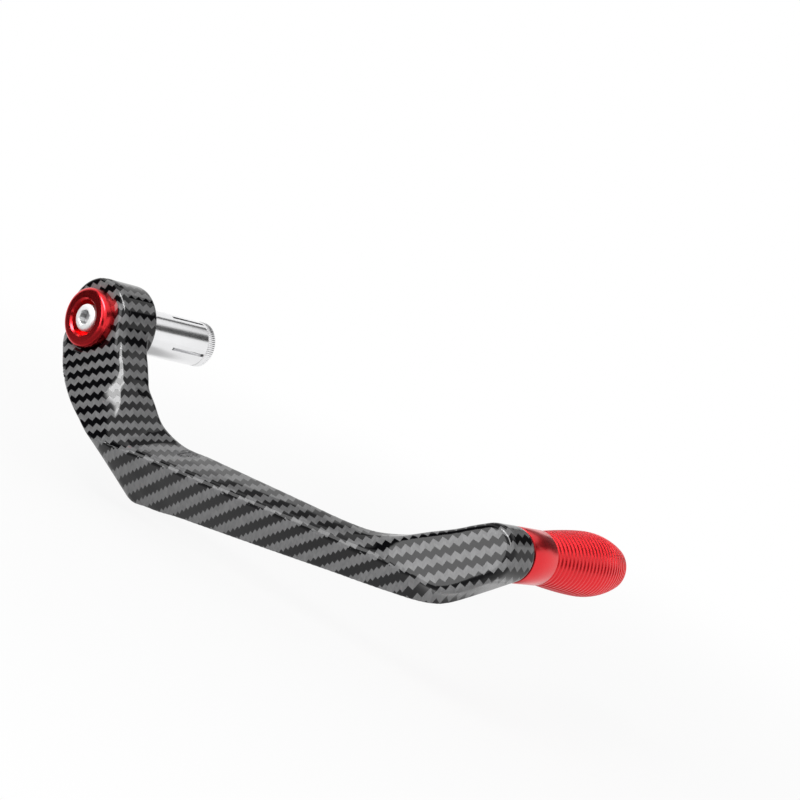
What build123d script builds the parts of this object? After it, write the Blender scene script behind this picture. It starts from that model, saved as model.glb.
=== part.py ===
from build123d import *
from collections import namedtuple
import math
import os

# Right-hand lever guard in mm: clamp axis along X at the origin, tip axis ahead along +Y, +X outboard, +Z up

# Hub and the seat for the end of the handlebar
hub_diameter = 31.0
hub_length = 16.7
hub_edge = 1.2
seat_diameter = 25.5
seat_depth = 1.5
pocket_depth = 3.0

# Clamp bolt with a socket head
bolt_diameter = 6.0
bolt_length = 50.0
bolt_end_chamfer = 0.8
head_diameter = 10.0
head_height = 6.0
head_chamfer = 0.3
socket_width = 5.0
socket_depth = 3.0

# End cap on the outboard face of the hub
cap_diameter = 22.0
cap_height = 5.2
cap_edge = 2.0
cap_mouth_edge = 0.6
cap_bore = 13.0
cap_bore_depth = 6.4
spigot_diameter = 16.5
spigot_length = 4.6

# Split sleeve and the cone nut that spreads it
plug_diameter = 17.0
plug_reach = 32.8
slit_count = 4
slit_width = 1.2
slit_length = 16.3
slit_turn = -14.0
relief_width = 1.2
relief_depth = 0.5
nut_rim_length = 5.3
nut_rim_chamfer = 1.6
cone_length = 12.0
cone_wide = 13.8
cone_narrow = 9.6

# Ribbed tip
tip_reach = 185.8
tip_seat = -11.9
tip_length = 55.0
collar_length = 12.6
collar_start_radius = 8.8
collar_end_radius = 8.7
collar_chamfer = 0.4
barrel_start_radius = 8.3
bulge_radius = 10.6
bulge_at = 37.6
barrel_end_radius = 7.1
tip_edge = 0.8
rib_count = 23
rib_land_share = 0.5
groove_depth = 0.55
groove_slope_share = 0.12
barrel_rise_power = 1.5
barrel_fall_power = 2.0

# Stud that holds the tip
stud_diameter = 6.0
stud_in_arm = 9.0
stud_in_tip = 18.0
stud_chamfer = 0.6

# Arm: lines of the neck, edges and end boss
neck_angle = -43.6
neck_relief = 4.65
neck_blend = 12.0
root_along = 3.0
root_inset = 0.3
root_rise = 2.2
root_inner = 3.0
back_inset = 1.6
back_angles = (86.0, 201.0)
heel_lift = 0.3
heel_foot_angle = 232.4
bend_along = 31.2
bend_heel = (43.6, -51.6)
bend_x = (6.0, 16.6, 30.4, 7.2)
bend_ridge_share = 0.485
bend_shoulder_edge = 2.5
run_steps = 6
section_pitch = 5.0
pad_seam = 0.04
end_radius = 8.9
end_edge = 1.3
end_turn = 128.0
pad_edge = 2.4
pad_level = 1.7
pad_lean_y = -0.028
pad_lean_z = -0.181
inner_edge = 1.6
ridge_edge = 0.9
heel_edge = 1.0
shoulder_edge = 1.2

# Sections of the arm: x and edges of the inner, shoulder, ridge and heel corners; the shares are of the depth
NeckStation = namedtuple("NeckStation", "along heel_share x ridge_share")
Station = namedtuple("Station", "hollow heel x ridge_share shoulder_share edges")


def edges(shoulder):
    """Edge radii of an arm section with a given shoulder."""
    return (inner_edge, shoulder, ridge_edge, heel_edge)


flat_edges = (inner_edge, pad_edge, pad_edge, end_edge)

# Neck stations by their distance along the hollow side from the foot of the clamp axis
neck_stations = [
    NeckStation(8.6, 0.1, (3.0, 16.3, 21.6, 4.2), 0.985),
    NeckStation(15.1, 0.23, (3.3, 16.4, 24.7, 4.7), 0.96),
    NeckStation(20.6, 0.447, (4.2, 16.5, 28.4, 6.0), 0.83),
    NeckStation(25.6, 0.675, (5.2, 16.5, 30.0, 8.0), 0.676),
]

# Bend and run stations by the (y, z) places of their hollow and heel edges
bend_stations = [
    Station((34.0, -15.9), (49.0, -51.2), (6.2, 17.0, 30.2, 6.4), 0.445, 0.0, edges(5.0)),
    Station((41.4, -20.2), (55.8, -50.1), (6.3, 17.4, 29.4, 5.5), 0.345, 0.13, edges(9.0)),
    Station((55.5, -23.3), (65.5, -47.9), (5.5, 17.0, 27.2, 4.5), 0.215, 0.1, edges(14.0)),
]

# End stations by places from the tip's axis; those of the pad get their outboard corners from its plane
end_stations = [
    Station((-56.0, -15.5), (-53.0, -35.0), (0.5, 7.2, 12.7, -0.5), 0.25, 0.115, edges(14.0)),
    Station((-42.4, -13.1), (-39.4, -32.3), (-1.2, 4.8, 10.0, -1.6), 0.335, 0.105, edges(3.5)),
    Station((-31.7, -9.0), (-27.4, -29.7), (-2.8, 4.4, 7.6, -2.3), 0.48, 0.075, edges(pad_edge)),
]
pad_stations = [
    Station((-23.0, -4.7), (-17.2, -27.0), (-5.0, 0.0, 0.0, -3.4), 0.62, 0.0, edges(pad_edge)),
    Station((-14.5, 0.6), (-10.3, -23.0), (-8.3, 0.0, 0.0, -5.9), 0.8, 0.0, edges(pad_edge)),
    Station((-9.2, 4.5), (-3.2, -15.8), (-10.4, 0.0, 0.0, -9.0), 1.0, 0.0, flat_edges),
]

# Clearances
hole_clearance = 0.25
thread_clearance = 0.05
slip_clearance = 0.1
cone_clearance = 0.15
overcut = 1.0
same_place = 0.01

hub_radius = hub_diameter / 2
bolt_hole = bolt_diameter / 2 + hole_clearance
seat_x = hub_length + cap_height - cap_bore_depth
sleeve_start = seat_depth + pocket_depth
nut_end = -plug_reach - nut_rim_length


def turned(x_from, x_to, r_from, r_to=None, y=0.0):
    """Solid of revolution along X between two stations, straight or tapered."""
    r_to = r_from if r_to is None else r_to
    plane = Plane(origin=(x_from, y, 0), x_dir=(1, 0, 0), z_dir=(0, 0, 1))
    length = x_to - x_from
    outline = Polyline((0, 0), (0, r_from), (length, r_to), (length, 0), close=True)
    return revolve(plane * make_face(outline), Axis((x_from, y, 0), (1, 0, 0)), 360)


def rim(shape, x, radius, y=0.0):
    """Circular edges of a solid at one station and radius."""
    found = []
    for edge in shape.edges().filter_by(GeomType.CIRCLE):
        centre = edge.arc_center
        if max(abs(centre.X - x), abs(centre.Y - y), abs(edge.radius - radius)) < same_place:
            found.append(edge)
    return found


def blend(a, b, share):
    """Point or number between two others."""
    if isinstance(a, tuple):
        return tuple(p + (q - p) * share for p, q in zip(a, b))
    return a + (b - a) * share


def smooth(values, places, share):
    """Point or number between the second and third of four values, on a smooth line through all of them."""
    if isinstance(values[0], tuple):
        return tuple(smooth(parts, places, share) for parts in zip(*values))
    gaps = [q - p for p, q in zip(places, places[1:])]
    steps = [b - a for a, b in zip(values, values[1:])]
    turns = []
    for i in (0, 1):
        weight = gaps[i] / (gaps[i] + gaps[i + 1])
        turns.append(gaps[1] * blend(steps[i] / gaps[i], steps[i + 1] / gaps[i + 1], weight))
    out, back = turns
    rise = steps[1]
    return values[1] + share * (out + share * (3 * rise - 2 * out - back + share * (out + back - 2 * rise)))


def polar(radius, degrees):
    """Place (y, z) on a circle around the clamp axis."""
    return (radius * math.cos(math.radians(degrees)), radius * math.sin(math.radians(degrees)))


def section(hollow, heel, x, ridge_share, shoulder_share, edges):
    """Rounded four-cornered outline in the plane that holds X and the line from hollow to heel edge."""
    along = Vector(0, heel[0] - hollow[0], heel[1] - hollow[1])
    depth = along.length
    across = along.normalized()
    plane = Plane(origin=(0, *hollow), x_dir=across, z_dir=(0, across.Z, -across.Y))
    corners = list(zip((0.0, depth * shoulder_share, depth * ridge_share, depth), x))
    arcs = []
    for i, corner in enumerate(corners):
        here = Vector(*corner)
        before = (Vector(*corners[i - 1]) - here).normalized()
        after = (Vector(*corners[(i + 1) % 4]) - here).normalized()
        half = math.acos(max(-1.0, min(1.0, before.dot(after)))) / 2
        middle = (before + after).normalized()
        centre = here + middle * (edges[i] / math.sin(half))
        cut = edges[i] / math.tan(half)
        arcs.append((here + before * cut, centre - middle * edges[i], here + after * cut))
    outline = []
    for i, (start, mid, end) in enumerate(arcs):
        points = [plane.from_local_coords((p.X, p.Y, 0)) for p in (start, mid, end, arcs[(i + 1) % 4][0])]
        outline.append(Edge.make_three_point_arc(points[0], points[1], points[2]))
        outline.append(Edge.make_line(points[2], points[3]))
    return Wire(outline)


def neck():
    """Stations from inside the hub to the bend; the hollow side blends into the hub with an arc."""
    line = polar(1.0, neck_angle)
    level = hub_radius - neck_relief
    blend_end = math.sqrt(hub_radius ** 2 - level ** 2 + 2 * neck_blend * neck_relief)
    heel_foot = polar(hub_radius + heel_lift, heel_foot_angle)
    sharp = edges(shoulder_edge)

    def hollow(along, height):
        return (line[0] * along - line[1] * height, line[1] * along + line[0] * height)

    inside = hub_radius - back_inset
    x = (root_inner, hub_length - overcut, hub_length - overcut, root_inner)
    found = [Station(polar(inside, back_angles[0]), polar(inside, back_angles[1]), x, 1.0, 0.0, sharp)]
    height = math.sqrt((hub_radius - root_inset) ** 2 - root_along ** 2)
    x = (root_inner, hub_length - root_inset, hub_length + root_rise, root_inner)
    found.append(Station(hollow(root_along, height), heel_foot, x, 1.0, 0.0, sharp))
    for s in neck_stations:
        gap = max(0.0, blend_end - s.along)
        height = level + neck_blend - math.sqrt(neck_blend ** 2 - gap ** 2)
        heel = blend(heel_foot, bend_heel, s.heel_share)
        found.append(Station(hollow(s.along, height), heel, s.x, s.ridge_share, 0.0, sharp))
    corner = edges(bend_shoulder_edge)
    found.append(Station(hollow(bend_along, level), bend_heel, bend_x, bend_ridge_share, 0.0, corner))
    return found


def from_tip(s):
    """Station moved from the tip's axis to its place on the arm."""
    return s._replace(hollow=(tip_reach + s.hollow[0], s.hollow[1]), heel=(tip_reach + s.heel[0], s.heel[1]))


def run():
    """Stations from the bend along the straight run to the start of the pad."""
    ends = [from_tip(s) for s in end_stations]
    steps = [i / run_steps for i in range(1, run_steps)]
    straight = [Station(*(blend(a, b, share) for a, b in zip(bend_stations[-1], ends[0]))) for share in steps]
    return bend_stations + straight + ends


def on_pad(s):
    """Station with its outboard corners on the pad's plane."""
    levels = []
    for y, z in (s.hollow, blend(s.hollow, s.heel, s.ridge_share)):
        levels.append(pad_level + pad_lean_y * (y - tip_reach) + pad_lean_z * z)
    return s._replace(x=(s.x[0], *levels, s.x[3]))


def pad():
    """Stations of the pad, the last of them across the middle of the end boss."""
    x = (tip_seat, 0.0, 0.0, tip_seat)
    radii = (end_edge, pad_edge, pad_edge, end_edge)
    last = Station(polar(end_radius, end_turn), polar(-end_radius, end_turn), x, 1.0, 0.0, radii)
    return [on_pad(from_tip(s)) for s in pad_stations + [last]]


def arm_sections():
    """Closely spaced sections through all stations."""
    flat = pad()
    main = neck() + run() + flat
    flat_from = len(main) - len(flat)
    middles = [blend(s.hollow, s.heel, 0.5) for s in main]
    places = [0.0]
    for a, b in zip(middles, middles[1:]):
        places.append(places[-1] + math.dist(a, b))
    found = []
    for i in range(len(main) - 1):
        near = [max(i - 1, 0), i, i + 1, min(i + 2, len(main) - 1)]
        at = [places[k] for k in near]
        at[0] = min(at[0], at[1] - section_pitch)
        at[3] = max(at[3], at[2] + section_pitch)
        steps = max(1, round((at[2] - at[1]) / section_pitch))
        for step in range(steps):
            s = Station(*(smooth(values, at, step / steps) for values in zip(*(main[k] for k in near))))
            found.append(section(*(on_pad(s) if i >= flat_from else s)))
    return found + [section(*main[-1])]


def end_boss():
    """Round end of the arm around the tip's axis, cut by the pad's plane."""
    top = pad_level + end_radius
    boss = turned(tip_seat, top, end_radius, y=tip_reach)
    boss = fillet(rim(boss, tip_seat, end_radius, tip_reach), end_edge)
    plane = Plane(origin=(pad_level - pad_seam, tip_reach, 0), z_dir=(1, -pad_lean_y, -pad_lean_z))
    boss = split(boss, bisect_by=plane, keep=Keep.BOTTOM)
    upper = boss.faces().sort_by(Axis.X)[-1]
    return fillet(upper.edges(), pad_edge)


def arm_blank():
    """Lofted arm with its hub and end boss, before holes."""
    hub = turned(0, hub_length, hub_radius)
    hub = fillet(rim(hub, 0, hub_radius) + rim(hub, hub_length, hub_radius), hub_edge)
    return hub + Solid.make_loft(arm_sections()) + end_boss()


def guard_arm():
    """Bent arm with the seat, pocket, bolt hole and spigot recess in its hub, and the stud hole in its end."""
    seat = turned(-overcut, seat_depth, seat_diameter / 2)
    pocket = turned(0, sleeve_start, plug_diameter / 2 + slip_clearance)
    hole = turned(0, hub_length + overcut, bolt_hole)
    recess_end = hub_length - spigot_length - slip_clearance
    recess = turned(recess_end, hub_length + overcut, spigot_diameter / 2 + slip_clearance)
    spot = turned(hub_length, hub_length + cap_height, cap_diameter / 2 + slip_clearance)
    stud_end = tip_seat + stud_in_arm + slip_clearance
    stud_hole = turned(tip_seat - overcut, stud_end, stud_diameter / 2 + thread_clearance, y=tip_reach)
    tip_room = turned(tip_seat - 2 * overcut, tip_seat, end_radius + overcut, y=tip_reach)
    return arm_blank() - seat - pocket - hole - recess - spot - stud_hole - tip_room


def end_cap():
    """Turned cap with a rounded front edge, a spigot and a stepped bore for the bolt."""
    front = hub_length + cap_height
    cap = turned(hub_length, front, cap_diameter / 2)
    cap = fillet(rim(cap, front, cap_diameter / 2), cap_edge)
    cap = cap + turned(hub_length - spigot_length, hub_length + overcut, spigot_diameter / 2)
    cap = cap - turned(seat_x, front + overcut, cap_bore / 2)
    cap = chamfer(rim(cap, front, cap_bore / 2), cap_mouth_edge)
    return cap - turned(hub_length - spigot_length - overcut, front, bolt_hole)


def clamp_bolt():
    """Socket-head bolt."""
    top = seat_x + head_height
    head = turned(seat_x, top, head_diameter / 2)
    head = chamfer(rim(head, top, head_diameter / 2), head_chamfer)
    shank = turned(seat_x - bolt_length, seat_x + overcut, bolt_diameter / 2)
    shank = chamfer(rim(shank, seat_x - bolt_length, bolt_diameter / 2), bolt_end_chamfer)
    plane = Plane(origin=(top, 0, 0), x_dir=(0, 1, 0), z_dir=(1, 0, 0))
    hexagon = plane * RegularPolygon(radius=socket_width / 2, side_count=6, major_radius=False)
    return head + shank - extrude(hexagon, amount=-socket_depth)


def expander_sleeve():
    """Plain sleeve with a relief groove at the seat and a tapered mouth, slit along its free end."""
    sleeve = turned(-plug_reach, seat_depth - relief_width, plug_diameter / 2)
    sleeve = sleeve + turned(seat_depth - relief_width, seat_depth, plug_diameter / 2 - relief_depth)
    sleeve = sleeve + turned(seat_depth, sleeve_start, plug_diameter / 2)
    sleeve = sleeve - turned(-plug_reach - overcut, sleeve_start + overcut, bolt_hole)
    mouth_end = -plug_reach + cone_length + 2 * cone_clearance
    sleeve = sleeve - turned(-plug_reach, mouth_end, cone_wide / 2 + cone_clearance, cone_narrow / 2 + cone_clearance)
    slit = Pos(-plug_reach + slit_length / 2, plug_diameter / 2, 0) * Box(slit_length, plug_diameter, slit_width)
    for i in range(slit_count):
        sleeve = sleeve - Rot(slit_turn + 360 * i / slit_count, 0, 0) * slit
    return sleeve


def cone_nut():
    """Nut with a round rim behind the sleeve and a cone inside it."""
    nut = turned(nut_end, -plug_reach, plug_diameter / 2)
    nut = chamfer(rim(nut, nut_end, plug_diameter / 2), nut_rim_chamfer)
    nut = nut + turned(-plug_reach, -plug_reach + cone_length, cone_wide / 2, cone_narrow / 2)
    return nut - turned(nut_end - overcut, 0, bolt_diameter / 2 + thread_clearance)


def barrel(s):
    """Radius of the ribbed part at a distance from the tip's seat."""
    if s < bulge_at:
        share = (bulge_at - s) / (bulge_at - collar_length)
        return bulge_radius - (bulge_radius - barrel_start_radius) * share ** barrel_rise_power
    share = (s - bulge_at) / (tip_length - bulge_at)
    return bulge_radius - (bulge_radius - barrel_end_radius) * share ** barrel_fall_power


def grip_tip():
    """Turned tip with a smooth collar and ribs round a barrel, drilled for its stud."""
    profile = [(0, 0), (0, collar_start_radius - collar_chamfer), (collar_chamfer, collar_start_radius)]
    profile += [(collar_length - collar_chamfer, collar_end_radius)]
    profile += [(collar_length, collar_end_radius - collar_chamfer)]
    pitch = (tip_length - collar_length) / (rib_count + 0.5)
    for i in range(rib_count):
        groove = collar_length + i * pitch
        slope = groove_slope_share * pitch
        land = groove + (1 - rib_land_share) * pitch
        profile.append((groove + (slope if i else 0), barrel(groove) - groove_depth))
        profile.append((land - slope, barrel(land) - groove_depth))
        profile.append((land, barrel(land)))
        profile.append((groove + pitch, barrel(groove + pitch)))
    profile += [(tip_length - tip_edge, barrel(tip_length - tip_edge))]
    profile += [(tip_length, barrel_end_radius - tip_edge), (tip_length, 0)]
    plane = Plane(origin=(tip_seat, tip_reach, 0), x_dir=(-1, 0, 0), z_dir=(0, 0, -1))
    axis = Axis((tip_seat, tip_reach, 0), (-1, 0, 0))
    tip = revolve(plane * make_face(Polyline(*profile, close=True)), axis, 360)
    depth = stud_in_tip + slip_clearance
    return tip - turned(tip_seat - depth, tip_seat + overcut, stud_diameter / 2 + thread_clearance, y=tip_reach)


def tip_stud():
    """Threaded stud between the arm's end and the tip."""
    start = tip_seat - stud_in_tip
    end = tip_seat + stud_in_arm
    stud = turned(start, end, stud_diameter / 2, y=tip_reach)
    ends = rim(stud, start, stud_diameter / 2, tip_reach) + rim(stud, end, stud_diameter / 2, tip_reach)
    return chamfer(ends, stud_chamfer)


os.makedirs("parts", exist_ok=True)
for make in (guard_arm, end_cap, clamp_bolt, expander_sleeve, cone_nut, grip_tip, tip_stud):
    export_step(make(), "parts/" + make.__name__ + ".step")
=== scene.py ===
import math
from collections import namedtuple

import bmesh
import bpy
import numpy as np
from bpy.props import FloatProperty, FloatVectorProperty, IntProperty, PointerProperty
from mathutils import Matrix, Vector


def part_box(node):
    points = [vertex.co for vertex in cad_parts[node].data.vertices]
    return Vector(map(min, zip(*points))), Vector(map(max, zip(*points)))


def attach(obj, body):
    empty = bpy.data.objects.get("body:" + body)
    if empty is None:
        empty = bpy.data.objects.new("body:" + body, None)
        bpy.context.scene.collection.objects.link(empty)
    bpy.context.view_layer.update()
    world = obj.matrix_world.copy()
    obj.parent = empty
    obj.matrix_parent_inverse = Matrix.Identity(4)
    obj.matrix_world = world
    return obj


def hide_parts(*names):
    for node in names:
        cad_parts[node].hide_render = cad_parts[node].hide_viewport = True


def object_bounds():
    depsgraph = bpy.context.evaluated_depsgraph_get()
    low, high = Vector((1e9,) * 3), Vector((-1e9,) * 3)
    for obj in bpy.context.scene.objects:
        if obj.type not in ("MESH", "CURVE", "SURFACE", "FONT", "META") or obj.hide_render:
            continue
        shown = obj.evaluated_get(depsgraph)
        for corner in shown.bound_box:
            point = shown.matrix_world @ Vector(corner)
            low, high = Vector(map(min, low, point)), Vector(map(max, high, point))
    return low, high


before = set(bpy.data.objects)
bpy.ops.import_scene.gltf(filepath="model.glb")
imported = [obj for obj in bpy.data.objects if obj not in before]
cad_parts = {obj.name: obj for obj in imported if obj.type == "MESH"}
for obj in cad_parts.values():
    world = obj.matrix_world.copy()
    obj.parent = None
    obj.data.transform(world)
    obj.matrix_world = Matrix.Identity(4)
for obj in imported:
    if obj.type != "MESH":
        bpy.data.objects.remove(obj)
cad_low, cad_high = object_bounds()

bl_info = {
    "name": "Lever Guard Looks",
    "version": (1, 0, 0),
    "blender": (4, 5, 0),
    "location": "View3D > Sidebar > Lever Guard",
    "description": "Dresses a lever guard in lacquered twill print, red anodised and bright turned metal",
    "category": "Object",
}

MM = 0.001
WHITE = (1.0, 1.0, 1.0, 1.0)
tip_low, tip_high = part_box("grip_tip")
nut_low, nut_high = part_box("cone_nut")
bolt_low, bolt_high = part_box("clamp_bolt")
sleeve_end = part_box("expander_sleeve")[0].x

# Mesh of the arm: distance at which points are joined, how far a round of smoothing moves a point towards
# the middle of its neighbours, and the fewest points of a sound mesh
JOIN = 0.002 * MM
SMOOTHING = 0.5
LEAST_POINTS = 1000

# Straight run of the arm along Y. Its ridge faces RIDGE_OUT, and the flat along it fades out at both ends.
# A ridge point faces that way by RIDGE_LEAST or more, and a curve of RIDGE_DEGREE goes through the tops.
RUN_FROM = 45.0 * MM
RUN_TO = 152.0 * MM
RUN_FADE = 8.0 * MM
RIDGE_OUT = (0.96, 0.13, 0.23)
RIDGE_LEAST = 0.5
RIDGE_DEGREE = 5

# Edges of the arm to round: corners of the zone, the way the edge faces, how closely a point has to face it,
# how many points further the rounding reaches, and the setting that holds the rounds of smoothing
SoftEdge = namedtuple("SoftEdge", "low high out least reach rounds")
SOFT_EDGES = (
    SoftEdge((0.0, RUN_FROM, -1.0), (1.0, RUN_TO, 1.0), RIDGE_OUT, 0.85, 4, "ridge_soften"),
    SoftEdge((0.012, -0.01, -0.024), (0.025, 0.042, 0.02), (0.70, 0.35, 0.62), 0.85, 4, "shoulder_soften"),
    SoftEdge((0.014, 0.026, -0.034), (0.032, 0.052, -0.013), (0.62, 0.3, 0.72), 0.6, 0, "bend_soften"),
)

# Flat film with the print: the way from band to band, the way along a band, the side that it is pressed on
# from, the facing to that side at which it starts to show, and the range over which it becomes whole
BAND_WAY = np.array((-0.0383, 0.5844, -0.8106))
TOOTH_WAY = np.array((-0.738, 0.531, 0.417))
FILM_OUT = np.array((0.674, 0.614, 0.411))
FILM_STARTS = -0.28
FILM_FADE = 0.16

# Lower face of the arm, where the teeth are closer together and lower
LOWER_SLOPE = -0.3
LOWER_FACE_TO = 162.0 * MM
LOWER_TEETH = 2.0
LOWER_TOOTH_SHARE = 0.55

# Print: threads to a tooth and to a band period, fineness of the fibres along each, gain and base of the
# tones that they give, and softness of a band's edge as a share of the period
THREADS = 2.0
FIBRES_TO_TOOTH = 14.0
FIBRES_TO_PERIOD = 2.5
THREAD_TONE = (0.22, 0.82)
FIBRE_TONE = (0.5, 0.75)
BAND_EDGE = 0.03

# Lacquer over the print, with slight waves
LACQUER = {"Roughness": 0.5, "Specular IOR Level": 0.0, "Coat Weight": 1.0, "Coat Roughness": 0.035,
           "Coat IOR": 1.38}
WAVE_SCALE = 160.0
WAVE_STRENGTH = 0.06
WAVE_DEPTH = 0.4 * MM

# Turned metal: base and gain of the roughness, rings to a metre, and weight of the clear coat
Finish = namedtuple("Finish", "rough streak rings coat")
FINISHES = {
    "red_cap": Finish(0.16, 0.12, 3500.0, 0.15),
    "red_tip": Finish(0.24, 0.1, 3500.0, 0.3),
    "bright_turned": Finish(0.12, 0.12, 2500.0, 0.0),
    "plated_steel": Finish(0.55, 0.2, 2500.0, 0.0),
    # Inside the bolt's socket: darker steel that paints the shade of the recess
    "socket_painted_shade": Finish(0.5, 0.2, 2500.0, 0.0),
    "stud_steel": Finish(0.25, 0.1, 2500.0, 0.0),
}
METAL_COAT_ROUGH = 0.12
DRIFT_SCALE = 90.0
DRIFT_TONE = (0.2, 0.9)
RING_STRENGTH = 0.25
RING_DEPTH = 0.03 * MM

# Turned pieces: angle from which an edge stays sharp, and radius of the last ring of a closed end
SHARP_ANGLE = math.radians(35)
CLOSED = 0.05 * MM

# Bolt: its head's outer profile goes from the top down, as depth and inset in millimetres. The shank's value
# is its radius, and the flat's is half the width across the socket's flats.
HEAD_HEIGHT = 6.0 * MM
HEAD_PROFILE = ((0.0, 0.9), (0.12, 0.6), (0.55, 0.2))
HEAD_KNURL_FROM = 0.7 * MM
HEAD_KNURL_LIFT = 0.3 * MM
HEAD_SEAT_INSET = 0.4 * MM
HEAD_TEETH = 48
SHANK = 3.0 * MM
SHANK_BEVEL = 0.8 * MM
SOCKET_FLAT = 2.5 * MM
SOCKET_DEPTH = 3.0 * MM
SOCKET_POINT = 3.6 * MM
SOCKET_BEVEL = 0.2 * MM
SOCKET_BEVEL_DEPTH = 0.25 * MM
SOCKET_MARGIN = 0.1 * MM

# Nut: its outer profile goes from the free end, as distance and inset in millimetres. The bore's and the
# cone's values are radii.
NUT_BORE = 3.05 * MM
NUT_BEVEL = 0.3 * MM
NUT_PROFILE = ((0.0, 2.0), (0.15, 1.5), (1.3, 0.35))
NUT_KNURL_FROM = 1.7 * MM
NUT_SIDES_TO_TOOTH = 6
CONE_BASE = 6.9 * MM
CONE_TOP = 4.8 * MM

# Tip, in millimetres: distances from its seat against the arm, radii, and the powers of the barrel's curves
COLLAR = 12.6
BARREL_START = 8.3
BARREL_END = 7.1
BULGE_AT = 37.6
BARREL_RISE = 1.5
BARREL_FALL = 2.0
COLLAR_PROFILE = ((0.0, 3.05), (0.0, 8.4), (0.12, 8.68), (0.4, 8.8),
                  (COLLAR - 0.4, 8.7), (COLLAR - 0.12, 8.6), (COLLAR, 8.4), (COLLAR, BARREL_START - 0.4))
# One groove and its rib, as shares of the ribs' pitch and of the groove's depth
RIB_SHAPE = ((0.06, 1.0), (0.42, 1.0), (0.5, 0.75), (0.55, 0.25), (0.62, 0.04), (0.72, 0.0), (0.86, 0.0),
             (0.95, 0.06), (0.99, 0.3), (1.02, 0.8))
# Space for the rounded end in pitches, and its shape as distance from the end and drop of the radius
END_PITCH = 0.5
END_SHAPE = ((0.9, -0.25), (0.45, 0.1), (0.15, 0.45), (0.0, 0.9))

# Lamps, and cards that only reflections show, in metres; a card's tone is its brightness, where 1 is white
MIDDLE = (0.0, 0.08, -0.01)
TIP_MIDDLE = (-0.04, 0.18, 0.0)
UP = Vector((0.0, 0.0, 1.0))
Lamp = namedtuple("Lamp", "name place target size power gloss")
LAMPS = (
    Lamp("overhead", (0.46, 0.09, 0.645), MIDDLE, (0.56, 0.2), 1.5, True),
    Lamp("front", (0.52, -0.22, 0.03), MIDDLE, (0.44, 0.44), 2.0, True),
    Lamp("low_fill", (0.48, 0.45, 0.03), (0.0, 0.17, 0.0), (0.4, 0.14), 2.2, False),
)
Card = namedtuple("Card", "name place target size tone")
CARDS = (
    Card("bright_strip", (0.45, 0.09, 0.63), MIDDLE, (0.72, 0.28), 17.0),
    Card("dark_flag", (0.2, -0.165, 0.06), MIDDLE, (0.28, 0.42), 0.0),
    Card("dark_front", (0.75, 0.48, 0.05), MIDDLE, (0.9, 0.4), 0.0),
    Card("dark_top", (-0.2, 0.45, 0.38), MIDDLE, (0.3, 0.25), 0.0),
    Card("dark_screen", (-0.37, 0.23, 0.28), MIDDLE, (0.32, 0.17), 0.06),
    Card("dark_side", (-0.43, 0.06, 0.27), (-0.02, 0.19, 0.0), (0.4, 0.2), 0.16),
    Card("dark_end", (-0.5, 0.14, 0.2), TIP_MIDDLE, (0.4, 0.18), 0.1),
    Card("tip_shade", (0.009, 0.17, 0.075), TIP_MIDDLE, (0.16, 0.06), 0.35),
    Card("dark_strip", (-0.36, -0.1, 0.36), MIDDLE, (0.09, 0.2), 0.0),
    Card("grey_back", (-0.15, -0.22, 0.3), MIDDLE, (0.2, 0.2), 0.2),
)
# Soft edge of a card, as a share of half its side
CARD_SOFT_SHARE = 0.25
# Cards that lie just above the floor and face up
MATS = (
    ("dark_mat", (0.14, 0.0), (0.24, 0.5), 0.25),
    ("grey_mat", (-0.01, 0.09), (0.12, 0.26), 0.5),
)
MAT_LIFT = 1.0 * MM

# World and floor: the world's strength on the part, and how the floor turns plain white further out
WORLD_STRENGTH = 0.5
FLOOR_HALF = 6.0
FLOOR_COLOUR = (0.9, 0.9, 0.9, 1.0)
FLOOR_MIDDLE_Y = 0.09
FLOOR_NEAR = 0.12
FLOOR_FAR = 0.4
FLOOR_NEAR_GLOW = 0.88

# Camera: width of its sensor in millimetres, and the nearest and furthest distance that it sees
SENSOR = 36.0
CLIP = (0.01, 30.0)

# Sockets of a Mix node that mixes colours
MIX_FIRST = 6
MIX_SECOND = 7
MIX_RESULT = 2


class ArmProps(bpy.types.PropertyGroup):
    """Moulded arm and its printed film."""

    voxel: FloatProperty(
        name="Mesh Step", description="Size of the mesh faces on the arm",
        default=0.5 * MM, unit="LENGTH", precision=5)
    soften: IntProperty(
        name="Edge Softening", description="Rounds of smoothing on the arm's edges", default=4)
    ridge_soften: IntProperty(
        name="Ridge Softening", description="Rounds of smoothing on the ridge", default=60)
    ridge_flat: FloatProperty(
        name="Ridge Flat", description="Depth of the flat along the ridge",
        default=0.16 * MM, unit="LENGTH", precision=5)
    shoulder_soften: IntProperty(
        name="Shoulder Softening", description="Rounds of smoothing on the neck's shoulder", default=70)
    bend_soften: IntProperty(
        name="Bend Softening", description="Rounds of smoothing on the outside of the bend", default=150)
    band_period: FloatProperty(
        name="Band Period", description="Distance from one light band to the next",
        default=5.05 * MM, unit="LENGTH", precision=5)
    band_start: FloatProperty(
        name="Band Start", description="Shift of the bands in band periods", default=-11.519)
    tooth_pitch: FloatProperty(
        name="Tooth Pitch", description="Distance between the teeth along a band",
        default=2.59 * MM, unit="LENGTH", precision=5)
    tooth_height: FloatProperty(
        name="Tooth Height", description="Height of the teeth as a share of the band period",
        default=0.29, subtype="FACTOR")
    dark: FloatVectorProperty(
        name="Dark Thread", description="Colour of the dark bands", subtype="COLOR",
        default=(0.0025, 0.0025, 0.003))
    light: FloatVectorProperty(
        name="Light Thread", description="Colour of the light bands", subtype="COLOR",
        default=(0.142, 0.142, 0.144))


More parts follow.
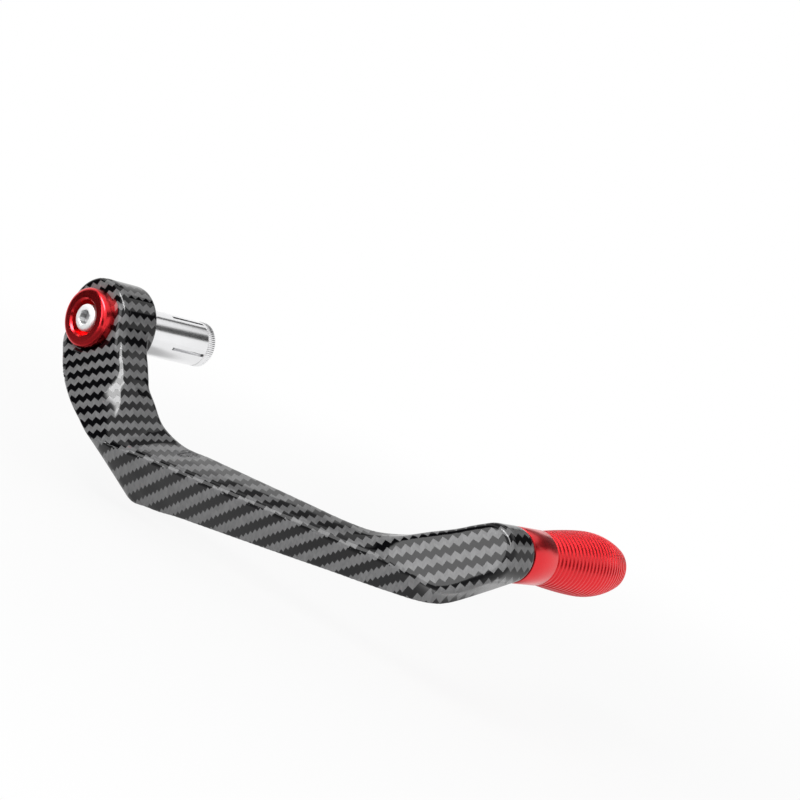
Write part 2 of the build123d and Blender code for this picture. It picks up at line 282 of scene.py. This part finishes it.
class MetalProps(bpy.types.PropertyGroup):
    """Turned metal pieces."""

    red: FloatVectorProperty(
        name="Anodised Red", description="Colour of the cap and the tip", subtype="COLOR",
        default=(0.78, 0.026, 0.034))
    bright: FloatVectorProperty(
        name="Bright Metal", description="Colour of the plug", subtype="COLOR",
        default=(0.86, 0.86, 0.87))
    steel: FloatVectorProperty(
        name="Plated Steel", description="Colour of the bolt and the stud", subtype="COLOR",
        default=(0.86, 0.87, 0.87))
    # Darker colour inside the bolt's socket, painted shade of the recess
    socket: FloatVectorProperty(
        name="Socket", description="Colour inside the bolt's socket", subtype="COLOR",
        default=(0.45, 0.45, 0.455))
    segments: IntProperty(name="Segments", description="Sides of a turned piece", default=144)
    rib_count: IntProperty(name="Ribs", description="Ribs round the tip", default=23)
    rib_depth: FloatProperty(
        name="Rib Depth", description="Depth of the grooves between the ribs",
        default=0.55 * MM, unit="LENGTH", precision=5)
    knurl_teeth: IntProperty(name="Knurl Teeth", description="Teeth round the nut's rim", default=72)
    knurl_depth: FloatProperty(
        name="Knurl Depth", description="Depth of the knurl on the nut and the bolt's head",
        default=0.2 * MM, unit="LENGTH", precision=5)


class StageProps(bpy.types.PropertyGroup):
    """Floor and camera."""

    eye: FloatVectorProperty(
        name="Camera Place", description="Where the camera stands", subtype="TRANSLATION",
        default=(0.43898, 0.48801, 0.10813))
    ahead: FloatVectorProperty(
        name="Camera Direction", description="Where the camera looks", subtype="DIRECTION",
        default=(-0.76779, -0.62465, -0.14256))
    above: FloatVectorProperty(
        name="Camera Up", description="The picture's upward direction", subtype="DIRECTION",
        default=(0.14565, -0.38684, 0.91057))
    lens: FloatProperty(name="Lens", description="Focal length in millimetres", default=81.0, unit="CAMERA")
    floor_drop: FloatProperty(
        name="Floor Drop", description="Space between the part and the floor",
        default=2.0 * MM, unit="LENGTH", precision=5)


class GuardProps(bpy.types.PropertyGroup):
    """All settings of the lever guard."""

    arm: PointerProperty(name="Arm", description="Moulded arm and its printed film", type=ArmProps)
    metal: PointerProperty(name="Metal", description="Turned metal pieces", type=MetalProps)
    stage: PointerProperty(name="Stage", description="Floor and camera", type=StageProps)


def add_node(tree, kind, inputs=None, **settings):
    """New node with its settings, and its inputs set or linked."""
    made = tree.nodes.new(kind)
    for name, value in settings.items():
        setattr(made, name, value)
    for key, value in (inputs or {}).items():
        if isinstance(value, bpy.types.NodeSocket):
            tree.links.new(value, made.inputs[key])
        else:
            made.inputs[key].default_value = value
    return made


def maths(tree, operation, *values):
    """Output of a Math node."""
    return add_node(tree, "ShaderNodeMath", dict(enumerate(values)), operation=operation).outputs[0]


def pair(tree, x, y):
    """Output of a Combine XYZ node."""
    return add_node(tree, "ShaderNodeCombineXYZ", {0: x, 1: y}).outputs[0]


def noise(tree, place, scale, detail):
    """Output of a Noise Texture node."""
    inputs = {"Vector": place, "Scale": scale, "Detail": detail}
    return add_node(tree, "ShaderNodeTexNoise", inputs).outputs[0]


def ramp(tree, value, low, high, first, last):
    """Smooth change from the first value to the last between low and high."""
    inputs = {0: value, 1: low, 2: high, 3: first, 4: last}
    return add_node(tree, "ShaderNodeMapRange", inputs, interpolation_type="SMOOTHSTEP").outputs[0]


def tinted(tree, colour, tone):
    """A colour times a tone that changes over the surface."""
    inputs = {0: (*colour,), "Scale": tone}
    return add_node(tree, "ShaderNodeVectorMath", inputs, operation="SCALE").outputs[0]


def object_place(tree):
    """Place on the surface, in the object's own frame."""
    return add_node(tree, "ShaderNodeTexCoord").outputs["Object"]


def add_bump(tree, shader, height, strength, depth):
    """Fine relief on a shader."""
    inputs = {"Height": height, "Strength": strength, "Distance": depth}
    tree.links.new(add_node(tree, "ShaderNodeBump", inputs).outputs[0], shader.inputs["Normal"])


def end_in_mix(tree, share, first, second):
    """Ends a material in a mix of two shaders."""
    mix = add_node(tree, "ShaderNodeMixShader", {0: share, 1: first, 2: second})
    tree.links.new(mix.outputs[0], tree.nodes["Material Output"].inputs[0])


def set_inputs(shader, values):
    """Plain values on a shader's own sockets."""
    for name, value in values.items():
        shader.inputs[name].default_value = value


def new_group(name, inputs, outputs):
    """Empty shader node group with its sockets; gives the group, its input and its output node."""
    group = bpy.data.node_groups.new(name, "ShaderNodeTree")
    for label, kind, value in inputs:
        socket = group.interface.new_socket(name=label, in_out="INPUT", socket_type=kind)
        if value is not None:
            socket.default_value = value
    for label, kind in outputs:
        group.interface.new_socket(name=label, in_out="OUTPUT", socket_type=kind)
    return group, group.nodes.new("NodeGroupInput"), group.nodes.new("NodeGroupOutput")


def twill_group():
    """Zig-zag bands of a twill print, with a little difference from thread to thread."""
    group, given, out = new_group(
        "twill_print",
        [("Film", "NodeSocketVector", None), ("Tooth Height", "NodeSocketFloat", 0.25),
         ("Edge", "NodeSocketFloat", 0.1)],
        [("Bands", "NodeSocketFloat"), ("Threads", "NodeSocketFloat"), ("Fibres", "NodeSocketFloat")])
    split = add_node(group, "ShaderNodeSeparateXYZ", {0: given.outputs["Film"]})
    teeth = split.outputs[0]
    periods = split.outputs[1]
    # A triangle wave from -0.5 to 0.5 times the tooth height shifts the bands
    wave = maths(group, "SUBTRACT", maths(group, "PINGPONG", teeth, 0.5), 0.25)
    wave = maths(group, "MULTIPLY", maths(group, "MULTIPLY", wave, 2.0), given.outputs["Tooth Height"])
    shifted = maths(group, "ADD", periods, wave)
    # The light band is the half of a period that lies within a quarter of its middle
    distance = maths(group, "PINGPONG", shifted, 0.5)
    low = maths(group, "SUBTRACT", 0.25, given.outputs["Edge"])
    high = maths(group, "ADD", 0.25, given.outputs["Edge"])
    bands = ramp(group, distance, low, high, 1.0, 0.0)
    cell = pair(group, maths(group, "FLOOR", maths(group, "MULTIPLY", teeth, THREADS)),
                maths(group, "FLOOR", maths(group, "MULTIPLY", shifted, THREADS)))
    threads = add_node(group, "ShaderNodeTexWhiteNoise", {0: cell}, noise_dimensions="2D")
    fine = pair(group, maths(group, "MULTIPLY", teeth, FIBRES_TO_TOOTH),
                maths(group, "MULTIPLY", periods, FIBRES_TO_PERIOD))
    group.links.new(bands, out.inputs["Bands"])
    group.links.new(threads.outputs[0], out.inputs["Threads"])
    group.links.new(noise(group, fine, 1.0, 2.0), out.inputs["Fibres"])


def turned_group():
    """Fine rings left by a lathe around an axis along X, and a slow drift of tone."""
    group, given, out = new_group(
        "turned_rings",
        [("Place", "NodeSocketVector", None), ("Axis Y", "NodeSocketFloat", 0.0),
         ("Fineness", "NodeSocketFloat", 3000.0)],
        [("Rings", "NodeSocketFloat"), ("Drift", "NodeSocketFloat")])
    split = add_node(group, "ShaderNodeSeparateXYZ", {0: given.outputs["Place"]})
    y = maths(group, "SUBTRACT", split.outputs[1], given.outputs["Axis Y"])
    z = split.outputs[2]
    square = maths(group, "ADD", maths(group, "MULTIPLY", y, y), maths(group, "MULTIPLY", z, z))
    radius = maths(group, "SQRT", square)
    rings = pair(group, maths(group, "MULTIPLY", split.outputs[0], given.outputs["Fineness"]),
                 maths(group, "MULTIPLY", radius, given.outputs["Fineness"]))
    group.links.new(noise(group, rings, 1.0, 3.0), out.inputs["Rings"])
    group.links.new(noise(group, given.outputs["Place"], DRIFT_SCALE, 2.0), out.inputs["Drift"])


def new_material(name):
    """Material with one Principled shader; gives the material, its tree and the shader."""
    made = bpy.data.materials.new(name)
    made.use_nodes = True
    tree = made.node_tree
    return made, tree, tree.nodes["Principled BSDF"]


def placed(tree, group, inputs):
    """A shared node group placed in a material."""
    return add_node(tree, "ShaderNodeGroup", inputs, node_tree=bpy.data.node_groups[group])


def lacquer_material(props):
    """Clear lacquer over a twill print, which fades to plain black where the film does not reach."""
    made, tree, shader = new_material("twill_lacquer")
    film = add_node(tree, "ShaderNodeUVMap", uv_map="film")
    cover = add_node(tree, "ShaderNodeAttribute", attribute_name="film_cover")
    share = add_node(tree, "ShaderNodeAttribute", attribute_name="tooth_share")
    height = maths(tree, "MULTIPLY", share.outputs["Fac"], props.tooth_height)
    twill = placed(tree, "twill_print", {"Film": film.outputs[0], "Tooth Height": height, "Edge": BAND_EDGE})
    printed = maths(tree, "MULTIPLY", twill.outputs["Bands"], cover.outputs["Fac"])
    thread = maths(tree, "MULTIPLY_ADD", twill.outputs["Threads"], *THREAD_TONE)
    fibre = maths(tree, "MULTIPLY_ADD", twill.outputs["Fibres"], *FIBRE_TONE)
    light = tinted(tree, props.light, maths(tree, "MULTIPLY", thread, fibre))
    inputs = {"Factor": printed, MIX_FIRST: (*props.dark, 1.0), MIX_SECOND: light}
    mix = add_node(tree, "ShaderNodeMix", inputs, data_type="RGBA")
    tree.links.new(mix.outputs[MIX_RESULT], shader.inputs["Base Color"])
    set_inputs(shader, LACQUER)
    waves = noise(tree, object_place(tree), WAVE_SCALE, 1.0)
    add_bump(tree, shader, waves, WAVE_STRENGTH, WAVE_DEPTH)
    return made


def metal_material(name, colour, axis_y=0.0):
    """Turned metal with fine rings around its axis."""
    finish = FINISHES[name]
    made, tree, shader = new_material(name)
    turned = placed(tree, "turned_rings",
                    {"Place": object_place(tree), "Axis Y": axis_y, "Fineness": finish.rings})
    tone = maths(tree, "MULTIPLY_ADD", turned.outputs["Drift"], *DRIFT_TONE)
    tree.links.new(tinted(tree, colour, tone), shader.inputs["Base Color"])
    set_inputs(shader, {"Metallic": 1.0, "Coat Weight": finish.coat, "Coat Roughness": METAL_COAT_ROUGH})
    uneven = maths(tree, "MULTIPLY_ADD", turned.outputs["Rings"], finish.streak, finish.rough)
    tree.links.new(uneven, shader.inputs["Roughness"])
    add_bump(tree, shader, turned.outputs["Rings"], RING_STRENGTH, RING_DEPTH)
    return made


def paint(piece, material):
    """Gives a piece its material."""
    piece.data.materials.clear()
    piece.data.materials.append(material)


def dress(piece, material, slot, *nodes):
    """Gives a new piece its material and its body, and hides the solids that it stands for; the slot is not
    used.
    """
    paint(piece, material)
    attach(piece, "root")
    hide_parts(*nodes)


def mesh_values(things, what, kind=float, width=1):
    """A value or a vector of every point, corner or face of a mesh, as an array."""
    values = np.zeros(len(things) * width, dtype=kind)
    things.foreach_get(what, values)
    return values.reshape(-1, width) if width > 1 else values


def knurled(radius, teeth, depth):
    """Radius by angle of a knurled rim."""
    return lambda angle: radius - depth * abs(math.sin(angle * teeth / 2))


def hexagon(flat, bevel=0.0):
    """Radius by angle of a hexagon, from half its width across the flats, with a bevel's width added."""
    sixth = math.pi / 3
    return lambda angle: flat / math.cos((angle + sixth / 2) % sixth - sixth / 2) + bevel


def turned_piece(name, rings, segments, axis_y=0.0):
    """Closed mesh of rings around an axis along X, each a station with a radius or a radius by angle."""
    mesh = bpy.data.meshes.new(name)
    bm = bmesh.new()
    rows = []
    for x, radius in rings:
        row = []
        for i in range(segments):
            angle = 2 * math.pi * i / segments
            r = radius(angle) if callable(radius) else radius
            row.append(bm.verts.new((x, axis_y + r * math.cos(angle), r * math.sin(angle))))
        rows.append(row)
    for a, b in zip(rows, rows[1:]):
        for i in range(segments):
            j = (i + 1) % segments
            bm.faces.new((a[i], a[j], b[j], b[i]))
    bm.faces.new(rows[0])
    bm.faces.new(rows[-1])
    bmesh.ops.recalc_face_normals(bm, faces=bm.faces)
    bm.to_mesh(mesh)
    bm.free()
    piece = bpy.data.objects.new(name, mesh)
    bpy.context.scene.collection.objects.link(piece)
    mesh.shade_smooth()
    mesh.set_sharp_from_angle(angle=SHARP_ANGLE)
    return piece


def flat_mesh(name, wide, deep, height=0.0):
    """Mesh of one level rectangle, from half its sides."""
    mesh = bpy.data.meshes.new(name)
    corners = [(-wide, -deep, height), (wide, -deep, height), (wide, deep, height), (-wide, deep, height)]
    mesh.from_pydata(corners, [], [(0, 1, 2, 3)])
    return mesh


def aim(thing, place, target):
    """Puts a lamp or a card at a place and turns it to a target."""
    thing.location = place
    thing.rotation_euler = (Vector(target) - Vector(place)).to_track_quat("-Z", "Y").to_euler()


class GUARD_OT_arm(bpy.types.Operator):
    """Softens the moulded arm and wraps it in the printed film"""

    bl_idname = "guard.arm"
    bl_label = "Arm"

    def execute(self, context):
        props = context.scene.guard.arm
        mesh = self.even_mesh(context, props)
        self.round_edges(mesh, props)
        mesh.shade_smooth()
        arm = bpy.data.objects.new("lacquered_arm", mesh)
        context.scene.collection.objects.link(arm)
        self.lay_film(mesh, props)
        dress(arm, lacquer_material(props), "twill_lacquer", "guard_arm")
        return {"FINISHED"}

    def even_mesh(self, context, props):
        """The solid's surface in small even faces, a little softened."""
        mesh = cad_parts["guard_arm"].data.copy()
        bm = bmesh.new()
        bm.from_mesh(mesh)
        bmesh.ops.remove_doubles(bm, verts=bm.verts, dist=JOIN)
        bm.to_mesh(mesh)
        bm.free()
        block = bpy.data.objects.new("arm_block", mesh)
        context.scene.collection.objects.link(block)
        remesh = block.modifiers.new("even", "REMESH")
        remesh.mode = "VOXEL"
        remesh.voxel_size = props.voxel
        smooth = block.modifiers.new("soft", "SMOOTH")
        smooth.factor = SMOOTHING
        smooth.iterations = props.soften
        graph = context.evaluated_depsgraph_get()
        even = bpy.data.meshes.new_from_object(block.evaluated_get(graph))
        bpy.data.objects.remove(block)
        if len(even.vertices) < LEAST_POINTS:
            raise RuntimeError("the arm's mesh came out empty")
        even.name = "lacquered_arm"
        return even

    def round_edges(self, mesh, props):
        """Rounds the ridge of the straight run, the shoulder of the neck and the outside of the bend."""
        bm = bmesh.new()
        bm.from_mesh(mesh)
        bm.normal_update()
        for edge in SOFT_EDGES:
            out = Vector(edge.out)
            points = {v for v in bm.verts if v.normal.dot(out) > edge.least
                      and all(a < c < b for a, c, b in zip(edge.low, v.co, edge.high))}
            for _ in range(edge.reach):
                points |= {link.other_vert(v) for v in points for link in v.link_edges}
            for _ in range(getattr(props, edge.rounds)):
                bmesh.ops.smooth_vert(bm, verts=list(points), factor=SMOOTHING,
                                      use_axis_x=True, use_axis_y=True, use_axis_z=True)
        self.flatten_ridge(bm, props)
        bm.to_mesh(mesh)
        bm.free()

    def flatten_ridge(self, bm, props):
        """Cuts a narrow flat along the ridge of the straight run, below a smooth line through its tops."""
        out = Vector(RIDGE_OUT).normalized()
        bm.normal_update()
        ridge = [v for v in bm.verts if RUN_FROM < v.co.y < RUN_TO and v.normal.dot(out) > RIDGE_LEAST]
        steps = int((RUN_TO - RUN_FROM) / MM)
        tops = np.full(steps, -1.0)
        for v in ridge:
            step = min(int((v.co.y - RUN_FROM) / MM), steps - 1)
            tops[step] = max(tops[step], v.co.dot(out))
        places = RUN_FROM + (np.arange(steps) + 0.5) * MM
        level = np.poly1d(np.polyfit(places, tops, RIDGE_DEGREE))
        for v in ridge:
            fade = min(1.0, (v.co.y - RUN_FROM) / RUN_FADE, (RUN_TO - v.co.y) / RUN_FADE)
            proud = v.co.dot(out) - level(v.co.y) + props.ridge_flat * fade
            if proud > 0:
                v.co -= out * proud * fade

    def lay_film(self, mesh, props):
        """UV map of a flat film pressed on from the outboard side, and how far it reaches round the arm."""
        spots = mesh_values(mesh.vertices, "co", width=3)
        facing = mesh_values(mesh.vertex_normals, "vector", width=3)
        slopes = mesh_values(mesh.polygons, "normal", width=3)[:, 2]
        places = mesh_values(mesh.polygons, "center", width=3)[:, 1]
        sizes = mesh_values(mesh.polygons, "loop_total", np.int32)
        loops = mesh_values(mesh.loops, "vertex_index", np.int32)
        bands = props.band_start + spots @ BAND_WAY / props.band_period
        teeth = spots @ TOOTH_WAY / props.tooth_pitch
        lower = (slopes < LOWER_SLOPE) & (places < LOWER_FACE_TO)
        film = mesh.uv_layers.new(name="film")
        teeth = teeth[loops] * np.repeat(np.where(lower, LOWER_TEETH, 1.0), sizes)
        film.data.foreach_set("uv", np.stack([teeth, bands[loops]], 1).ravel())
        cover = mesh.attributes.new("film_cover", "FLOAT", "POINT")
        cover.data.foreach_set("value", np.clip((facing @ FILM_OUT - FILM_STARTS) / FILM_FADE, 0, 1))
        share = mesh.attributes.new("tooth_share", "FLOAT", "FACE")
        share.data.foreach_set("value", np.where(lower, LOWER_TOOTH_SHARE, 1.0))


class GUARD_OT_cap(bpy.types.Operator):
    """Finishes the red end cap"""

    bl_idname = "guard.cap"
    bl_label = "End Cap"

    def execute(self, context):
        props = context.scene.guard.metal
        paint(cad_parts["end_cap"], metal_material("red_cap", props.red))
        return {"FINISHED"}


class GUARD_OT_clamp(bpy.types.Operator):
    """Makes the bolt and the nut, and finishes the slit sleeve"""

    bl_idname = "guard.clamp"
    bl_label = "Clamp Parts"

    def execute(self, context):
        props = context.scene.guard.metal
        bright = metal_material("bright_turned", props.bright)
        steel = metal_material("plated_steel", props.steel)
        paint(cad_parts["expander_sleeve"], bright)
        self.bolt(props, steel)
        self.nut(props, bright)
        return {"FINISHED"}

    def bolt(self, props, steel):
        """Socket-head bolt with a knurled head, from the socket's bottom round to the shank's end."""
        top = bolt_high.x
        far = bolt_low.x
        seat = top - HEAD_HEIGHT
        head = (bolt_high.y - bolt_low.y) / 2
        knurl = knurled(head, HEAD_TEETH, props.knurl_depth)
        socket = hexagon(SOCKET_FLAT)
        rings = [(top - SOCKET_POINT, CLOSED), (top - SOCKET_DEPTH, socket),
                 (top - SOCKET_BEVEL_DEPTH, socket), (top, hexagon(SOCKET_FLAT, SOCKET_BEVEL))]
        rings += [(top - depth * MM, head - inset * MM) for depth, inset in HEAD_PROFILE]
        rings += [(top - HEAD_KNURL_FROM, knurl), (seat + HEAD_KNURL_LIFT, knurl),
                  (seat, head - HEAD_SEAT_INSET), (seat, SHANK),
                  (far + SHANK_BEVEL, SHANK), (far, SHANK - SHANK_BEVEL), (far, CLOSED)]
        bolt = turned_piece("bolt", rings, props.segments)
        dress(bolt, steel, "bolt_steel", "clamp_bolt")
        # Faces inside the socket get the darker steel, painted shade of the recess
        bolt.data.materials.append(metal_material("socket_painted_shade", props.socket))
        for face in bolt.data.polygons:
            across = math.hypot(face.center.y, face.center.z)
            if face.center.x > seat and across < SOCKET_FLAT + SOCKET_MARGIN:
                face.material_index = 1

    def nut(self, props, bright):
        """Cone nut with a knurled rim, from the bore's free end round to the cone's top."""
        end = nut_low.x
        outer = (nut_high.y - nut_low.y) / 2
        knurl = knurled(outer, props.knurl_teeth, props.knurl_depth)
        rings = [(end + NUT_BEVEL, NUT_BORE), (end, NUT_BORE + NUT_BEVEL)]
        rings += [(end + depth * MM, outer - inset * MM) for depth, inset in NUT_PROFILE]
        rings += [(end + NUT_KNURL_FROM, knurl), (sleeve_end - NUT_BEVEL, knurl),
                  (sleeve_end, outer - NUT_BEVEL), (sleeve_end, CONE_BASE),
                  (nut_high.x, CONE_TOP), (nut_high.x, NUT_BORE)]
        nut = turned_piece("nut", rings, props.knurl_teeth * NUT_SIDES_TO_TOOTH)
        dress(nut, bright, "bright_aluminium", "cone_nut")


class GUARD_OT_tip(bpy.types.Operator):
    """Makes the ribbed red tip and finishes its stud"""

    bl_idname = "guard.tip"
    bl_label = "Grip Tip"

    def execute(self, context):
        props = context.scene.guard.metal
        axis_y = (tip_low.y + tip_high.y) / 2
        red = metal_material("red_tip", props.red, axis_y)
        rings = [(tip_high.x - s * MM, r * MM) for s, r in (*COLLAR_PROFILE, *self.ribs(props))]
        dress(turned_piece("tip", rings, props.segments, axis_y), red, "red_anodised", "grip_tip")
        paint(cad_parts["tip_stud"], metal_material("stud_steel", props.steel, axis_y))
        return {"FINISHED"}

    def barrel(self, s, length):
        """Radius of the ribbed part at a distance from the seat, in millimetres."""
        bulge = (tip_high.y - tip_low.y) / 2 / MM
        if s < BULGE_AT:
            return bulge - (bulge - BARREL_START) * ((BULGE_AT - s) / (BULGE_AT - COLLAR)) ** BARREL_RISE
        return bulge - (bulge - BARREL_END) * ((s - BULGE_AT) / (length - BULGE_AT)) ** BARREL_FALL

    def ribs(self, props):
        """Ribs with rounded edges, and the closed end, in millimetres."""
        length = (tip_high.x - tip_low.x) / MM
        depth = props.rib_depth / MM
        pitch = (length - COLLAR) / (props.rib_count + END_PITCH)
        profile = []
        for i in range(props.rib_count):
            for share, low in RIB_SHAPE:
                s = COLLAR + (i + share) * pitch
                profile.append((s, self.barrel(s, length) - depth * low))
        end = self.barrel(length, length)
        profile += [(length - inset, end - drop) for inset, drop in END_SHAPE]
        profile.append((length, CLOSED / MM))
        return profile


class GUARD_OT_stage(bpy.types.Operator):
    """Sets up the pale floor, the soft lamps, the reflection cards and the camera"""

    bl_idname = "guard.stage"
    bl_label = "Stage"

    def execute(self, context):
        props = context.scene.guard.stage
        ground = cad_low.z - props.floor_drop
        self.world(context.scene)
        self.floor(context.scene, ground)
        for lamp in LAMPS:
            self.lamp(context.scene, lamp)
        for card in CARDS:
            self.card(context.scene, card)
        for name, spot, size, tone in MATS:
            place = Vector((*spot, ground + MAT_LIFT))
            self.card(context.scene, Card(name, place, place + UP, size, tone))
        self.camera(context.scene, props)
        context.scene.view_settings.view_transform = "Standard"
        return {"FINISHED"}

    def seen(self, tree):
        """1 for rays from the camera, from gloss and through glass."""
        path = add_node(tree, "ShaderNodeLightPath")
        both = maths(tree, "MAXIMUM", path.outputs["Is Camera Ray"], path.outputs["Is Glossy Ray"])
        return maths(tree, "MAXIMUM", both, path.outputs["Is Transmission Ray"])

    def world(self, scene):
        """Even white light, which the camera and reflections see as pure white."""
        made = bpy.data.worlds.new("studio")
        scene.world = made
        made.use_nodes = True
        tree = made.node_tree
        level = maths(tree, "MULTIPLY_ADD", self.seen(tree), 1.0 - WORLD_STRENGTH, WORLD_STRENGTH)
        back = tree.nodes["Background"]
        back.inputs["Color"].default_value = WHITE
        tree.links.new(level, back.inputs["Strength"])

    def floor(self, scene, height):
        """Pale floor that keeps the part's shadow and turns plain white further out."""
        mesh = flat_mesh("floor", FLOOR_HALF, FLOOR_HALF, height)
        floor = bpy.data.objects.new("floor", mesh)
        scene.collection.objects.link(floor)
        made, tree, shader = new_material("pale_floor")
        set_inputs(shader, {"Base Color": FLOOR_COLOUR, "Roughness": 1.0, "Specular IOR Level": 0.0})
        glow = add_node(tree, "ShaderNodeEmission", {"Color": WHITE})
        inputs = {0: object_place(tree), 1: (0.0, FLOOR_MIDDLE_Y, height)}
        reach = add_node(tree, "ShaderNodeVectorMath", inputs, operation="DISTANCE").outputs["Value"]
        far = ramp(tree, reach, FLOOR_NEAR, FLOOR_FAR, FLOOR_NEAR_GLOW, 1.0)
        share = maths(tree, "MULTIPLY", far, self.seen(tree))
        end_in_mix(tree, share, shader.outputs[0], glow.outputs[0])
        mesh.materials.append(made)

    def lamp(self, scene, row):
        """Soft lamp aimed at a point, which shows in reflections or not."""
        data = bpy.data.lights.new(row.name, "AREA")
        data.shape = "RECTANGLE"
        data.size, data.size_y = row.size
        data.energy = row.power
        lamp = bpy.data.objects.new(row.name, data)
        lamp.visible_glossy = row.gloss
        aim(lamp, row.place, row.target)
        scene.collection.objects.link(lamp)

    def card(self, scene, row):
        """Soft-edged card that shows only in reflections."""
        wide, deep = row.size[0] / 2, row.size[1] / 2
        mesh = flat_mesh(row.name, wide, deep)
        card = bpy.data.objects.new(row.name, mesh)
        aim(card, row.place, row.target)
        card.visible_camera = False
        card.visible_diffuse = False
        card.visible_shadow = False
        card.visible_transmission = False
        scene.collection.objects.link(card)
        made, tree, shader = new_material(row.name)
        tree.nodes.remove(shader)
        spot = add_node(tree, "ShaderNodeSeparateXYZ", {0: object_place(tree)})
        sides = []
        for axis, half in ((0, wide), (1, deep)):
            inset = maths(tree, "SUBTRACT", half, maths(tree, "ABSOLUTE", spot.outputs[axis]))
            sides.append(ramp(tree, inset, 0.0, half * CARD_SOFT_SHARE, 0.0, 1.0))
        clear = add_node(tree, "ShaderNodeBsdfTransparent")
        glow = add_node(tree, "ShaderNodeEmission", {"Color": (row.tone, row.tone, row.tone, 1.0)})
        end_in_mix(tree, maths(tree, "MULTIPLY", *sides), clear.outputs[0], glow.outputs[0])
        mesh.materials.append(made)

    def camera(self, scene, props):
        """Camera at the photograph's place."""
        data = bpy.data.cameras.new("camera")
        data.lens = props.lens
        data.sensor_width = SENSOR
        data.clip_start, data.clip_end = CLIP
        camera = bpy.data.objects.new("camera", data)
        scene.collection.objects.link(camera)
        back = -Vector(props.ahead).normalized()
        right = Vector(props.above).cross(back).normalized()
        up = back.cross(right)
        turn = Matrix((right, up, back)).transposed().to_4x4()
        camera.matrix_world = Matrix.Translation(props.eye) @ turn
        scene.camera = camera


class GUARD_PT_panel(bpy.types.Panel):
    """Steps that dress the lever guard"""

    bl_idname = "GUARD_PT_panel"
    bl_label = "Lever Guard"
    bl_space_type = "VIEW_3D"
    bl_region_type = "UI"
    bl_category = "Lever Guard"

    def draw(self, context):
        for step in STEPS:
            self.layout.operator(step.bl_idname)


STEPS = (GUARD_OT_arm, GUARD_OT_cap, GUARD_OT_clamp, GUARD_OT_tip, GUARD_OT_stage)
CLASSES = (ArmProps, MetalProps, StageProps, GuardProps, *STEPS, GUARD_PT_panel)


def register():
    for cls in CLASSES:
        bpy.utils.register_class(cls)
    bpy.types.Scene.guard = PointerProperty(
        name="Lever Guard", description="All settings of the lever guard", type=GuardProps)


def unregister():
    del bpy.types.Scene.guard
    for cls in reversed(CLASSES):
        bpy.utils.unregister_class(cls)


def main():
    register()
    twill_group()
    turned_group()
    bpy.ops.guard.arm()
    bpy.ops.guard.cap()
    bpy.ops.guard.clamp()
    bpy.ops.guard.tip()
    bpy.ops.guard.stage()


if __name__ == "__main__":
    main()
